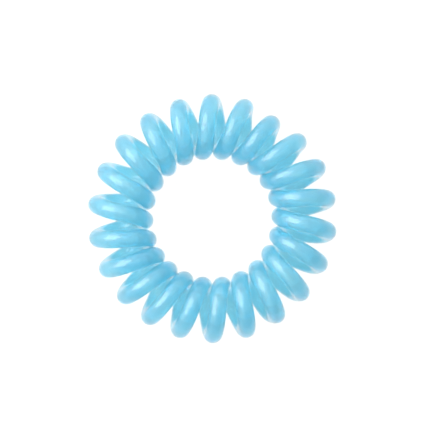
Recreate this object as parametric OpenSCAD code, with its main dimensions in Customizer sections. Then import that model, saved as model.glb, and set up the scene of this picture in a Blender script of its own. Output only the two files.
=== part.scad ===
// Spiral hair tie: one plastic cord, wound into a coil whose two ends are fused, so that it closes as a ring.
// The ring lies flat, as it does on a table. Z is its axis, and the origin is the point that it rests
// around, in the middle of the hole and in the plane of the table.
// A turn has a tip at the outside of the ring and a heel at the hole. One strand of the cord runs over the
// ring from the tip to the heel, and the next runs under it from the heel to the tip of the turn that follows.

/* [Cord] */
// Diameter of the plastic cord
cord_d = 2.85; // [1.6:0.05:4.2]

/* [Coil] */
// Outside diameter of the coil, which is also the height of the ring as it lies
coil_d = 10.6; // [8:0.1:16]
// Number of turns round the ring
turns = 22; // [14:1:26]
// Clear gap between neighbouring turns at the hole, where they are closest
heel_gap = 0.2; // [0.1:0.05:2]
// Share of the pitch by which both strands of a tip lean together
lean = 0.056; // [0:0.002:0.08]
// Direction of the first tip, in degrees from X
first_tip = 8.9; // [0:0.1:16]
// How uneven the turns lie: 0 is an even coil, 1 is the coil of a used tie
unevenness = 1; // [0:0.1:1]

/* [Hidden] */

cord_r = cord_d / 2;
// Radius of the circle that the cord's centre makes in one turn
turn_r = (coil_d - cord_d) / 2;
// Neighbouring cords are a cord and a gap apart. They slant at the heels, by heel_slant along the ring for each
// unit of height and of spacing, so their spacing along the ring is a little more.
heel_slant = (1 / (2 * PI) + lean) / turn_r;
heel_spacing = (cord_d + heel_gap) / sqrt(1 - pow(heel_slant * (cord_d + heel_gap), 2));
heel_r = turns * heel_spacing / (2 * PI);
ring_r = heel_r + turn_r;
pitch = 360 / turns;

// The mesh has a section of the cord at every step of a turn. The tip, top, heel and bottom are all steps.
steps = 20;
cord_sides = 12;
sections = turns * steps;
// Half the distance, in turns, between the two points that give the cord's direction
nudge = 0.002;

// How each turn of the real coil lies, one row for each turn.
// tip and lobe: shift along the ring, as shares of the pitch, of the tip and of the lower strand where it comes
// out under the tip. heel: shift of the heel after the tip, as a share of heel_gap. Neighbouring heels differ
// by less than a whole gap, so they never touch. reach: shift of the tip outwards, as a share of turn_r.
TIP = 0;
HEEL = 1;
LOBE = 2;
REACH = 3;
LIE = [
    // tip, heel, lobe, reach
    [0.03, 0.75, 0, 0],
    [0.02, 0.45, 0, 0],
    [0, -0.05, 0.04, -0.06],
    [-0.01, -0.6, 0.03, -0.2],
    [-0.04, -0.75, 0.05, -0.03],
    [-0.03, -0.75, 0, -0.02],
    [-0.04, -0.75, 0, -0.03],
    [-0.02, -0.3, -0.02, -0.03],
    [-0.01, 0, -0.02, 0],
    [0, 0.45, 0, 0],
    [0.03, 0.75, 0, 0],
    [0.05, 0.85, 0, 0],
    [0.02, 0.45, 0, 0],
    [0, -0.1, 0, 0],
    [-0.03, -0.6, 0, 0],
    [-0.04, -0.75, 0, -0.02],
    [-0.03, -0.75, 0, 0],
    [-0.01, -0.45, 0, -0.01],
    [0, 0, -0.06, -0.02],
    [0.01, 0.3, -0.04, -0.03],
    [0.04, 0.75, -0.045, 0],
    [0.05, 0.9, -0.045, 0]
];

// One value of the table. The ring closes, so turn number turns is turn 0 again.
function lie(turn, column) = unevenness * LIE[((turn + turns) % turns) % len(LIE)][column];

// u counts turns along the cord from the first tip. How much the cord at u belongs to its tip, from 1 to 0.
function tip_share(u) = (1 + cos(360 * u)) / 2;
// The same for the place where the lower strand comes out under the tip
function lobe_share(u) = cos(360 * u) > 0 && sin(360 * u) < 0 ? pow(sin(720 * u), 2) : 0;

// Shift of the cord along the ring at u, in shares of the pitch
function shift(u) = let (tip = round(u), heel = floor(u))
    lie(tip, TIP) * tip_share(u) + lie(tip, LOBE) * lobe_share(u)
        + lie(heel, HEEL) * heel_gap / heel_spacing * (1 - tip_share(u));

// Direction from the ring's axis to the cord's centre at u
function bearing(u) = first_tip + pitch * (u - lean * sin(360 * u) + shift(u));
// Distance from the ring's axis to the cord's centre at u
function distance(u) = ring_r + turn_r * (cos(360 * u) + lie(round(u), REACH) * pow(tip_share(u), 2));
// Height of the cord's centre at u: the bottom strands rest on z = 0
function height(u) = coil_d / 2 + turn_r * sin(360 * u);

function spot(bearing, distance, height) = [distance * cos(bearing), distance * sin(bearing), height];
function centre(u) = spot(bearing(u), distance(u), height(u));
// The middle of the turn that holds u, on the circle round which the coil is bent
function turn_middle(u) = spot(bearing(u), ring_r, coil_d / 2);

function unit(v) = v / norm(v);
// Section of the cord at u: its first corner points away from the middle of the turn
function section(u) =
    let (along = unit(centre(u + nudge) - centre(u - nudge)),
         spoke = centre(u) - turn_middle(u),
         out = unit(spoke - (spoke * along) * along),
         side = cross(along, out))
    [for (k = [0:cord_sides - 1])
        centre(u) + cord_r * (cos(360 * k / cord_sides) * out + sin(360 * k / cord_sides) * side)];

// Number of corner k of section s: both counts run round and meet their start
function corner(s, k) = (s % sections) * cord_sides + k % cord_sides;

module coil() {
    corners = [for (s = [0:sections - 1]) each section(s / steps)];
    faces = [for (s = [0:sections - 1], k = [0:cord_sides - 1])
        each [[corner(s, k), corner(s + 1, k + 1), corner(s, k + 1)],
              [corner(s, k), corner(s + 1, k), corner(s + 1, k + 1)]]];
    color([0.44, 0.79, 0.91]) polyhedron(points = corners, faces = faces);
}

coil();
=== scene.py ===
# %% [markdown]
# # A spiral hair tie in light blue plastic
#
# The real thing is one piece: a glossy, slightly milky plastic cord, wound into a coil whose ends are
# fused. It lies flat on a glowing white table, and we look at it from straight above.
#
# The lesson has four steps: find the cord's path, wrap a skin round it, mix the plastic, and light it.
# Everything is in metres. The height of the coil is measured on the CAD model, which is loaded first, and
# the other sizes repeat those that this model was built from.

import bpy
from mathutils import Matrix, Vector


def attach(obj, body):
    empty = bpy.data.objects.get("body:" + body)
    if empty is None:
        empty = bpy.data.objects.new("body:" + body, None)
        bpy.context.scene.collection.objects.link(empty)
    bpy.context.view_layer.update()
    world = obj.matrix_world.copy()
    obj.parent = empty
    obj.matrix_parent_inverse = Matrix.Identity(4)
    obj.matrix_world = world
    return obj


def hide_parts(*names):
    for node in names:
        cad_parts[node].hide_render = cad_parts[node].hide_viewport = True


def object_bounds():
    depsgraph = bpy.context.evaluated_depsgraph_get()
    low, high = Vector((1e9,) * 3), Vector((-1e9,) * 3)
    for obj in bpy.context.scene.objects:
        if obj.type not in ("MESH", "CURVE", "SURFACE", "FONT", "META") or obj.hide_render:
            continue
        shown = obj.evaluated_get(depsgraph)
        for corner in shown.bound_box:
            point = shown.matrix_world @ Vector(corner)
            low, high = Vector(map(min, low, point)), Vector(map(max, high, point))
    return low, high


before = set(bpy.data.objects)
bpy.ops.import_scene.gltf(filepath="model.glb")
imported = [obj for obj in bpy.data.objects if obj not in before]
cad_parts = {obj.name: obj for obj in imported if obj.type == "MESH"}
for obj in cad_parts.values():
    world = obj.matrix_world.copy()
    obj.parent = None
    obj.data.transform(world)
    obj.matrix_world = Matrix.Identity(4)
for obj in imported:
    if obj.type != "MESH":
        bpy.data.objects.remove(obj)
cad_low, cad_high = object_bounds()
print("CAD box:", [round(v, 5) for v in cad_low], [round(v, 5) for v in cad_high])

# %% Tools that the lesson uses
import math

import bpy
import numpy as np
from mathutils import Vector

MM = 0.001
scene = bpy.context.scene
print("Blender", bpy.app.version_string)

# %% [markdown]
# ## Step 1: the path of the cord
#
# A coil that is bent into a ring could be a curve object with a bevel, or a helix that a Curve modifier
# bends. Both hide how the turns lie. Here the path is a short formula instead, the same one that the CAD
# model uses: one turn is a circle, and while the cord goes round that circle, the circle's middle moves
# on round the ring.
#
# A turn has a tip, at the outside of the ring, and a heel, at the hole. Between them a strand runs over
# the ring and comes back under it.

# %% The sizes of the coil
TURNS = 22
CORD_D = 2.85 * MM
COIL_D = cad_high.z - cad_low.z
# Clear gap between evenly spaced turns at the hole, where they are closest
HEEL_GAP = 0.2 * MM
# Share of the pitch by which both strands of a tip lean together
LEAN = 0.056
# Direction of the first tip
FIRST_TIP = math.radians(8.9)

cord_r = CORD_D / 2
turn_r = (COIL_D - CORD_D) / 2
pitch = 2 * math.pi / TURNS
print(f"cord {CORD_D / MM:.2f} mm, coil {COIL_D / MM:.2f} mm, {TURNS} turns")

# %% [markdown]
# The turns nearly touch at their heels, and that fixes the size of the ring: there, neighbouring cords
# are a cord and a gap apart. They slant a little, so along the ring their spacing is slightly more, and
# all the spacings together make the circle that the heels lie on.

# %% The size of the ring
# Spacings that the cord moves on at a heel, for each metre that it goes round the turn
heel_slant = (1 / (2 * math.pi) + LEAN) / turn_r
heel_spacing = (CORD_D + HEEL_GAP) / math.sqrt(1 - (heel_slant * (CORD_D + HEEL_GAP)) ** 2)
heel_r = TURNS * heel_spacing / (2 * math.pi)
ring_r = heel_r + turn_r
outer_d = 2 * (ring_r + turn_r + cord_r)
hole_d = 2 * (heel_r - cord_r)
print(f"ring {outer_d / MM:.2f} mm across, hole {hole_d / MM:.2f} mm")

# %% [markdown]
# No two turns of a used tie lie quite alike, and a perfect coil looks like a drawing of one. Random
# shifts would do for any tie, but this one is in a photograph, so a table says how far each turn is off.
# It counts in shares: of the pitch for tips and lobes (the place where the lower strand comes out under
# the tip), of the gap between the turns for heels, and of the turn's radius for the reach.

# %% How each turn lies
LIE = np.array([
    # tip, heel, lobe, reach
    (0.03, 0.75, 0, 0),
    (0.02, 0.45, 0, 0),
    (0, -0.05, 0.04, -0.06),
    (-0.01, -0.6, 0.03, -0.2),
    (-0.04, -0.75, 0.05, -0.03),
    (-0.03, -0.75, 0, -0.02),
    (-0.04, -0.75, 0, -0.03),
    (-0.02, -0.3, -0.02, -0.03),
    (-0.01, 0, -0.02, 0),
    (0, 0.45, 0, 0),
    (0.03, 0.75, 0, 0),
    (0.05, 0.85, 0, 0),
    (0.02, 0.45, 0, 0),
    (0, -0.1, 0, 0),
    (-0.03, -0.6, 0, 0),
    (-0.04, -0.75, 0, -0.02),
    (-0.03, -0.75, 0, 0),
    (-0.01, -0.45, 0, -0.01),
    (0, 0, -0.06, -0.02),
    (0.01, 0.3, -0.04, -0.03),
    (0.04, 0.75, -0.045, 0),
    (0.05, 0.9, -0.045, 0),
])
TIP, HEEL, LOBE, REACH = LIE.T
print(f"{len(LIE)} turns, with tips off by {np.degrees(np.abs(TIP).max() * pitch):.1f} degrees at most")

# %% [markdown]
# A shift must fade out on the way from one tip or heel to the next, or the cord would jump. Two shares
# see to that. Both are waves of u, which counts turns along the cord from the first tip.


# %% Shares that fade a shift in and out
def tip_share(u):
    """How much the cord at u belongs to its tip: 1 at the tip, 0 at the heel."""
    return (1 + np.cos(2 * np.pi * u)) / 2


def lobe_share(u):
    """The same for the place where the lower strand comes out under the tip."""
    below_tip = (np.cos(2 * np.pi * u) > 0) & (np.sin(2 * np.pi * u) < 0)
    return np.where(below_tip, np.sin(4 * np.pi * u) ** 2, 0)


quarters = np.arange(4) / 4
print("tip, top, heel and bottom belong to the tip by", tip_share(quarters).round(2))


# %% The path as a function of turns
def bearing(u):
    """Direction from the ring's axis to the cord, in radians."""
    tip = np.round(u).astype(int) % TURNS
    heel = np.floor(u).astype(int) % TURNS
    shift = TIP[tip] * tip_share(u) + LOBE[tip] * lobe_share(u)
    shift = shift + HEEL[heel] * HEEL_GAP / heel_spacing * (1 - tip_share(u))
    return FIRST_TIP + pitch * (u - LEAN * np.sin(2 * np.pi * u) + shift)


def spot(angle, distance, height):
    """Points from cylindrical coordinates, one row for each."""
    return np.stack([distance * np.cos(angle), distance * np.sin(angle), height + 0 * angle], axis=-1)


def centre(u):
    """The middle of the cord, u turns after the first tip."""
    tip = np.round(u).astype(int) % TURNS
    distance = ring_r + turn_r * (np.cos(2 * np.pi * u) + REACH[tip] * tip_share(u) ** 2)
    return spot(bearing(u), distance, COIL_D / 2 + turn_r * np.sin(2 * np.pi * u))


print("first tip and first heel, in mm:", (centre(np.array([0, 0.5])) / MM).round(1).tolist())

# %% Points along the path
STEPS = 100
u = np.arange(TURNS * STEPS) / STEPS
path = centre(u)
cord_length = np.linalg.norm(np.roll(path, -1, axis=0) - path, axis=1).sum()
print(f"{len(path)} points, cord length {cord_length / MM:.0f} mm")

# %% [markdown]
# ## Step 2: a skin round the path
#
# Each point of the path gets a ring of points around it. A curve's bevel does the same, but it chooses
# the direction of its rings by itself, and here the surface is to get waves and a map that follow the
# turns. Three directions place a ring: along the cord, out (away from the middle of the turn), and their
# cross product. Because out comes from the turn itself, the skin never twists, and its last ring meets
# the first.


# %% Directions across the cord
def unit(v):
    """Rows of v, each scaled to length 1."""
    return v / np.linalg.norm(v, axis=1, keepdims=True)


# Half the distance, in turns, between the two points that give the cord's direction
NUDGE = 0.002
along = unit(centre(u + NUDGE) - centre(u - NUDGE))
spoke = path - spot(bearing(u), ring_r, COIL_D / 2)
out = unit(spoke - np.sum(spoke * along, axis=1, keepdims=True) * along)
side = np.cross(along, out)
alignment = np.sum(out * np.roll(out, -1, axis=0), axis=1).min()
print(f"out turns by {math.degrees(math.acos(alignment)):.1f} degrees at most from ring to ring")

# %% [markdown]
# An extruded cord is never quite round. It has long, low waves, mostly about a hundredth of a millimetre
# high. Nobody sees them by themselves, but they bend the reflections: this is what makes a highlight on
# soft plastic look hand-made rather than ruled. A bump in the material could fake them, but these are
# forms, so they go into the mesh. Each wave is a cosine that closes on itself, along and around the cord,
# and its lobes, cycles and start are drawn from a fixed seed.

# %% Low waves in the surface
rng = np.random.default_rng(22)
SIDES = 36
WAVES = 26
# Height as a share of the cord's radius
WAVE_HEIGHT = 0.0035
# From the first number to just below the last: lobes around the cord, and cycles along all of it
LOBES_AROUND = (0, 4)
CYCLES_ALONG = (30, 230)
around = np.arange(SIDES) / SIDES * 2 * np.pi

waves = np.zeros((len(u), SIDES))
for _ in range(WAVES):
    lobes = rng.integers(*LOBES_AROUND)
    cycles = rng.integers(*CYCLES_ALONG)
    start = rng.uniform(0, 2 * np.pi)
    waves += np.cos(lobes * around[None, :] + (cycles * u / TURNS * 2 * np.pi)[:, None] + start)
waves *= WAVE_HEIGHT / np.sqrt(WAVES)
radius = cord_r * (1 - np.abs(waves).max() + waves)
print(f"cord radius {radius.min() / MM:.3f} to {radius.max() / MM:.3f} mm")

# %% [markdown]
# The radius stays at or below the CAD model's, so the skin never leaves its box. Now every ring is joined
# to the next with a band of four-sided faces, and the last ring to the first.

# %% Points and faces of the skin
across = np.cos(around)[None, :, None] * out[:, None] + np.sin(around)[None, :, None] * side[:, None]
points = (path[:, None] + radius[:, :, None] * across).reshape(-1, 3)


def number(ring, corner):
    """Where a ring's corner is in the list of points: past the end, both counts start again."""
    return (ring % len(u)) * SIDES + corner % SIDES


rings, corners = np.meshgrid(np.arange(len(u)), np.arange(SIDES), indexing="ij")
quads = np.stack([
    number(rings, corners),
    number(rings, corners + 1),
    number(rings + 1, corners + 1),
    number(rings + 1, corners),
], axis=-1).reshape(-1, 4)
print(f"{len(points)} points, {2 * len(quads)} triangles")

# %% The mesh
mesh = bpy.data.meshes.new("coiled_cord")
mesh.from_pydata(points.tolist(), [], quads.tolist())
mesh.shade_smooth()
print("the mesh had faults to mend:", mesh.validate())

coiled_cord = bpy.data.objects.new("coiled_cord", mesh)
scene.collection.objects.link(coiled_cord)

# %% [markdown]
# The plastic's grain runs along the cord, so the material has to know which way that is. A UV map tells
# it: its first number counts cord diameters along the cord, and its second counts once around it. Blender
# could unwrap the mesh for this, but we know where each face lies, so we write it down.

# %% A map along and around the cord
cord_map = mesh.uv_layers.new(name="cord_map")
ring_of_corner = np.stack([rings, rings, rings + 1, rings + 1], axis=-1).reshape(-1)
side_of_corner = np.stack([corners, corners + 1, corners + 1, corners], axis=-1).reshape(-1)
diameters_along = ring_of_corner / len(u) * (cord_length / CORD_D)
share_around = side_of_corner / SIDES
places = np.stack([diameters_along, share_around], axis=-1).astype(np.float32)
cord_map.data.foreach_set("uv", places.ravel())
print(f"the map is {diameters_along.max():.1f} diameters long")

# %% [markdown]
# ## Step 3: the plastic
#
# The real cord is clear plastic with blue dye and a little white pigment in it: milky in its middle,
# almost clear at its thin edges, and deep blue where we look along a bend. A painted surface can't do
# that, and subsurface scattering makes wax of it, where no strand shines through the one above. So the
# cord is made as it really is: a skin that bends light like glass, and inside it a volume that dims and
# scatters light.
#
# Materials are built from nodes. A few helpers make one, fill in its sockets, and join it to others.


# %% A new material, and helpers for its nodes
def new_material(name):
    """A new material, and the Principled shader in it."""
    material = bpy.data.materials.new(name)
    material.use_nodes = True
    return material, material.node_tree.nodes["Principled BSDF"]


def node(owner, kind, **settings):
    """A new node of that kind in a material or the room, with its own settings."""
    made = owner.node_tree.nodes.new(kind)
    for name, value in settings.items():
        setattr(made, name, value)
    return made


def fill(target, values):
    """Writes values into a node's sockets, by the sockets' names."""
    for name, value in values.items():
        target.inputs[name].default_value = value


def join(owner, source, target):
    """Runs a link from one socket to another."""
    owner.node_tree.links.new(source, target)


plastic, skin = new_material("light_blue_plastic")
print(f"{plastic.name} starts with a shader of {len(skin.inputs)} sockets")

# %% [markdown]
# The skin lets all light through that it doesn't reflect. Over it lies a thin dull film, as on any
# plastic that hands and hair have rubbed: it lays a wide soft glow round each sharp highlight. One
# rougher skin could give that glow too, but it would blur what shines through.

# %% A skin that bends light
fill(skin, {"IOR": 1.5, "Transmission Weight": 1.0})
fill(skin, {"Coat Weight": 1.0, "Coat Roughness": 0.45})
print(f"index of refraction {skin.inputs['IOR'].default_value:.2f}, as of clear plastic")

# %% [markdown]
# The dye halves the red of light in a little over two millimetres, but the green only in nine and the
# blue in sixteen. So a longer way through the cord gives a deeper blue, not only a darker one. The milk
# is white and turns light aside every millimetre or two. That blurs a strand behind another but lets its
# light through. One node for both would tie their densities together, so there are two.

# %% Dye and milk inside
WHITE = (1, 1, 1, 1)
DYE_COLOUR = (0.0, 0.75, 0.862, 1)
DYE_PER_METRE = 310
MILK_PER_METRE = 610
dye = node(plastic, "ShaderNodeVolumeAbsorption")
fill(dye, {"Color": DYE_COLOUR, "Density": DYE_PER_METRE})
milk = node(plastic, "ShaderNodeVolumeScatter")
fill(milk, {"Color": WHITE, "Density": MILK_PER_METRE, "Anisotropy": 0.2})

inside = node(plastic, "ShaderNodeAddShader")
join(plastic, dye.outputs["Volume"], inside.inputs[0])
join(plastic, milk.outputs["Volume"], inside.inputs[1])
join(plastic, inside.outputs["Shader"], plastic.node_tree.nodes["Material Output"].inputs["Volume"])
halved = [math.log(2) / DYE_PER_METRE / (1 - part) / MM for part in DYE_COLOUR[:3]]
print("red, green and blue are halved in", [round(way, 1) for way in halved], "mm")
print(f"light turns aside every {1 / MILK_PER_METRE / MM:.1f} mm")

# %% [markdown]
# Light bounces many times before it leaves such a cord. With the usual few bounces the coil turns grey,
# and so it does when the renderer softens gloss behind the first bounce, so that is switched off.

# %% Bounces for a milky inside
MOST_BOUNCES = 48
BOUNCES_OF_ONE_KIND = 32
scene.cycles.max_bounces = MOST_BOUNCES
scene.cycles.volume_bounces = BOUNCES_OF_ONE_KIND
scene.cycles.transmission_bounces = BOUNCES_OF_ONE_KIND
scene.cycles.glossy_bounces = BOUNCES_OF_ONE_KIND
scene.cycles.blur_glossy = 0.0
print(f"up to {MOST_BOUNCES} bounces, {BOUNCES_OF_ONE_KIND} of one kind")

# %% [markdown]
# The pigment is not perfectly mixed: the colour drifts a little paler and deeper over a few millimetres,
# with finer clouds in between. The dye could vary like that, but then the renderer has to feel its way
# through the cord in small steps. A tint in the skin, which light passes on its way in and out, does
# nearly the same.
#
# The clouds are a noise that is turned into colours. Nearly all of a noise lies between 0.3 and 0.7, so
# those are the numbers where the two colours are pure.


# %% Cloudy colour
NOISE_LOW = 0.3
NOISE_HIGH = 0.7
DEEP_BLUE = (0.54, 0.84, 0.935, 1)
PALE_BLUE = (0.84, 0.98, 0.99, 1)
CLOUDS_PER_METRE = 260


def noise(owner, vector, scale, detail):
    """A noise that changes scale times in each metre, or in each unit of its vector."""
    made = node(owner, "ShaderNodeTexNoise")
    fill(made, {"Scale": scale, "Detail": detail})
    join(owner, vector, made.inputs["Vector"])
    return made.outputs["Fac"]


def shades(owner, source, first, last, start=NOISE_LOW, end=NOISE_HIGH):
    """Turns a noise into colours: first up to start, last from end on, and a blend between them."""
    made = node(owner, "ShaderNodeValToRGB")
    for stop, position, colour in zip(made.color_ramp.elements, (start, end), (first, last)):
        stop.position = position
        stop.color = colour
    join(owner, source, made.inputs["Fac"])
    return made.outputs["Color"]


place = node(plastic, "ShaderNodeTexCoord").outputs["Object"]
clouds = noise(plastic, place, scale=CLOUDS_PER_METRE, detail=4)
join(plastic, shades(plastic, clouds, DEEP_BLUE, PALE_BLUE), skin.inputs["Base Color"])
print(f"clouds about {1 / CLOUDS_PER_METRE / MM:.0f} mm across")

# %% [markdown]
# An extruded cord keeps the marks of its die: fine lines that run along it for about a centimetre. To
# model them takes far more faces than their height is worth, so they are a noise that is stretched along
# the cord. Around the cord it reads cosine and sine of the angle instead of the map's second number, so
# that the lines meet without a seam.

# %% Coordinates for die lines
LINES_ALONG = 0.35
LINES_AROUND = 5.0
flat = node(plastic, "ShaderNodeUVMap", uv_map="cord_map")
map_parts = node(plastic, "ShaderNodeSeparateXYZ")
join(plastic, flat.outputs["UV"], map_parts.inputs["Vector"])


def arithmetic(source, operation, factor=0):
    """One step of sums: source times factor, or a function of it."""
    made = node(plastic, "ShaderNodeMath", operation=operation)
    join(plastic, source, made.inputs[0])
    made.inputs[1].default_value = factor
    return made.outputs["Value"]


angle = arithmetic(map_parts.outputs["Y"], "MULTIPLY", 2 * math.pi)
line_place = node(plastic, "ShaderNodeCombineXYZ")
join(plastic, arithmetic(map_parts.outputs["X"], "MULTIPLY", LINES_ALONG), line_place.inputs["X"])
for axis, wave in (("Y", "COSINE"), ("Z", "SINE")):
    turned = arithmetic(arithmetic(angle, wave), "MULTIPLY", LINES_AROUND)
    join(plastic, turned, line_place.inputs[axis])
print(f"die lines {cord_r / LINES_AROUND / MM:.2f} mm wide and {CORD_D / LINES_ALONG / MM:.0f} mm long")

# %% [markdown]
# Two kinds of dents lie over each other: the die lines, one or two hundredths of a millimetre deep, and a
# finer and shallower orange peel, from the way the skin cooled. Both only make the highlights break up
# softly.

# %% Die lines and orange peel
LINE_DEPTH = 0.045 * MM
PEEL_DEPTH = 0.008 * MM
PEEL_PER_METRE = 2600


def dents(owner, source, depth, before=None):
    """Turns a noise into dents, on top of the dents that came before."""
    made = node(owner, "ShaderNodeBump")
    fill(made, {"Strength": 1.0, "Distance": depth})
    join(owner, source, made.inputs["Height"])
    if before is not None:
        join(owner, before, made.inputs["Normal"])
    return made.outputs["Normal"]


die_lines = noise(plastic, line_place.outputs["Vector"], scale=1.0, detail=2)
orange_peel = noise(plastic, place, scale=PEEL_PER_METRE, detail=3)
lined = dents(plastic, die_lines, LINE_DEPTH)
join(plastic, dents(plastic, orange_peel, PEEL_DEPTH, before=lined), skin.inputs["Normal"])
swing = NOISE_HIGH - NOISE_LOW
print(f"lines up to {LINE_DEPTH * swing / MM:.3f} mm deep, peel up to {PEEL_DEPTH * swing / MM:.3f} mm")

# %% [markdown]
# Gloss differs as well: patches a few millimetres long that fingers have polished or dulled. Nothing in
# the photograph says where they are, so another noise places them, stretched over a range of roughness.

# %% Uneven gloss
PATCHES_PER_METRE = 420


def spread(owner, source, low, high):
    """Stretches the middle of a noise over low to high."""
    made = node(owner, "ShaderNodeMapRange")
    fill(made, {"From Min": NOISE_LOW, "From Max": NOISE_HIGH, "To Min": low, "To Max": high})
    join(owner, source, made.inputs["Value"])
    return made.outputs["Result"]


gloss_patches = noise(plastic, place, scale=PATCHES_PER_METRE, detail=5)
join(plastic, spread(plastic, gloss_patches, low=0.05, high=0.13), skin.inputs["Roughness"])
print(f"patches of gloss {1 / PATCHES_PER_METRE / MM:.1f} mm long")

# %% [markdown]
# The finished cord belongs to the model's only body. It stands in for the CAD model's plain solid of the
# same form, which stays hidden.

# %% Put the cord in the frame
mesh.materials.append(plastic)
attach(coiled_cord, "root")
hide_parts("coil")
print(f"{coiled_cord.name} is made of {mesh.materials[0].name}")

# %% [markdown]
# ## Step 4: table, light and camera
#
# The photograph shows no shadow at all, as on a light table. A plain white sheet would show one, so our
# table is a plane that glows white. Under the glow its own colour is dark. Light that falls on it, or
# fails to, then hardly shows, and the coil leaves no shadow.

# %% A glowing white table
TABLE_SIDE = 3.0
bpy.ops.mesh.primitive_plane_add(size=TABLE_SIDE, location=(0, 0, 0))
table = bpy.context.object
table.name = "table"
white, glow = new_material("glowing_white")
fill(glow, {"Specular IOR Level": 0.0, "Emission Color": WHITE, "Emission Strength": 0.95})
table.data.materials.append(white)
print(f"table {table.dimensions.x:.0f} m wide")

# %% [markdown]
# A matt sheet has a fine grain. One noise gives its colour, its roughness and its dents, so that all
# three agree.

# %% Grain of the table
DARK = (0.09, 0.09, 0.09, 1)
LESS_DARK = (0.11, 0.11, 0.11, 1)
GRAIN_PER_METRE = 900
GRAIN_DEPTH = 0.05 * MM
table_place = node(white, "ShaderNodeTexCoord").outputs["Object"]
grain = noise(white, table_place, scale=GRAIN_PER_METRE, detail=6)
join(white, shades(white, grain, DARK, LESS_DARK, start=0.0, end=1.0), glow.inputs["Base Color"])
join(white, spread(white, grain, low=0.55, high=0.75), glow.inputs["Roughness"])
join(white, dents(white, grain, GRAIN_DEPTH), glow.inputs["Normal"])
print(f"grain about {1 / GRAIN_PER_METRE / MM:.1f} mm wide")

# %% [markdown]
# The room is pale all round and brighter on the side of the window. Its light fills the coil softly and
# leaves the far side of each strand a deeper blue. Several weak lamps could do that, but each would add a
# highlight of its own. The strength comes from how far a direction points towards the window.

# %% The room
WINDOW_SIDE = (-0.7, 0.7, 0)
# Where the strength starts and stops growing, just inside the two ends of the scale
AWAY, TOWARDS = -0.9, 0.9
FAR_WALL, WINDOW_WALL = 0.45, 1.72
room = bpy.data.worlds.new("room")
scene.world = room
room.use_nodes = True
sky = room.node_tree.nodes["Background"]
direction = node(room, "ShaderNodeTexCoord").outputs["Generated"]
to_window = node(room, "ShaderNodeVectorMath", operation="DOT_PRODUCT")
to_window.inputs[1].default_value = WINDOW_SIDE
daylight = node(room, "ShaderNodeMapRange")
fill(daylight, {"From Min": AWAY, "From Max": TOWARDS, "To Min": FAR_WALL, "To Max": WINDOW_WALL})
fill(sky, {"Color": WHITE})
join(room, direction, to_window.inputs[0])
join(room, to_window.outputs["Value"], daylight.inputs["Value"])
join(room, daylight.outputs["Result"], sky.inputs["Strength"])
print(f"the window's side is {WINDOW_WALL / FAR_WALL:.1f} times as bright as the far one")

# %% [markdown]
# One large soft box makes the long soft highlights. Its bearing and tilt come from where the highlights
# lie in the photograph: they sit on skin that leans about 21 degrees towards bearing 155, so the light
# stands at twice that lean. Blender wants its power in watts, which is its radiance times its area times
# pi.


# %% The soft box
def soft_box(name, bearing_deg, tilt_deg, distance, width, height, radiance):
    """An area light that looks at the ring, tilt_deg off the vertical."""
    light = bpy.data.lights.new(name, "AREA")
    light.shape = "RECTANGLE"
    light.size = width
    light.size_y = height
    light.energy = radiance * math.pi * width * height
    lamp = bpy.data.objects.new(name, light)
    turn, tilt = math.radians(bearing_deg), math.radians(tilt_deg)
    towards = Vector((math.sin(tilt) * math.cos(turn), math.sin(tilt) * math.sin(turn), math.cos(tilt)))
    lamp.location = towards * distance
    lamp.rotation_euler = towards.to_track_quat("Z", "Y").to_euler()
    scene.collection.objects.link(lamp)
    print(f"{name}: {light.energy:.2f} W")


soft_box("key_light", bearing_deg=155, tilt_deg=42, distance=0.55, width=0.58, height=0.5, radiance=3.6)

# %% [markdown]
# The camera looks straight down. Its lens and place follow from three readings in the photograph: the
# side of the picture, the ring's width and the ring's middle, all in pixels. Halfway up the coil, the
# picture is exactly as wide as those readings say.

# %% The camera
PHOTO_SIDE = 430
RING_ACROSS = 250
RING_MIDDLE = (212.3, 218.3)
CAMERA_HEIGHT = 0.45
SENSOR_WIDTH = 36
pixel = outer_d / RING_ACROSS
picture_side = PHOTO_SIDE * pixel
camera_data = bpy.data.cameras.new("camera")
camera = bpy.data.objects.new("camera", camera_data)
scene.collection.objects.link(camera)
scene.camera = camera
camera_data.sensor_width = SENSOR_WIDTH
camera_data.lens = SENSOR_WIDTH * (CAMERA_HEIGHT - COIL_D / 2) / picture_side
camera_x = picture_side / 2 - RING_MIDDLE[0] * pixel
camera_y = RING_MIDDLE[1] * pixel - picture_side / 2
camera.location = (camera_x, camera_y, CAMERA_HEIGHT)
print(f"lens {camera_data.lens:.0f} mm, picture {picture_side / MM:.1f} mm wide")

# %% [markdown]
# Blender's usual view transform dims bright colours, as film does, and would turn the white table grey.
# The standard one shows every colour as it was worked out.

# %% Colours as in a plain photograph
scene.view_settings.view_transform = "Standard"
print("view transform:", scene.view_settings.view_transform)
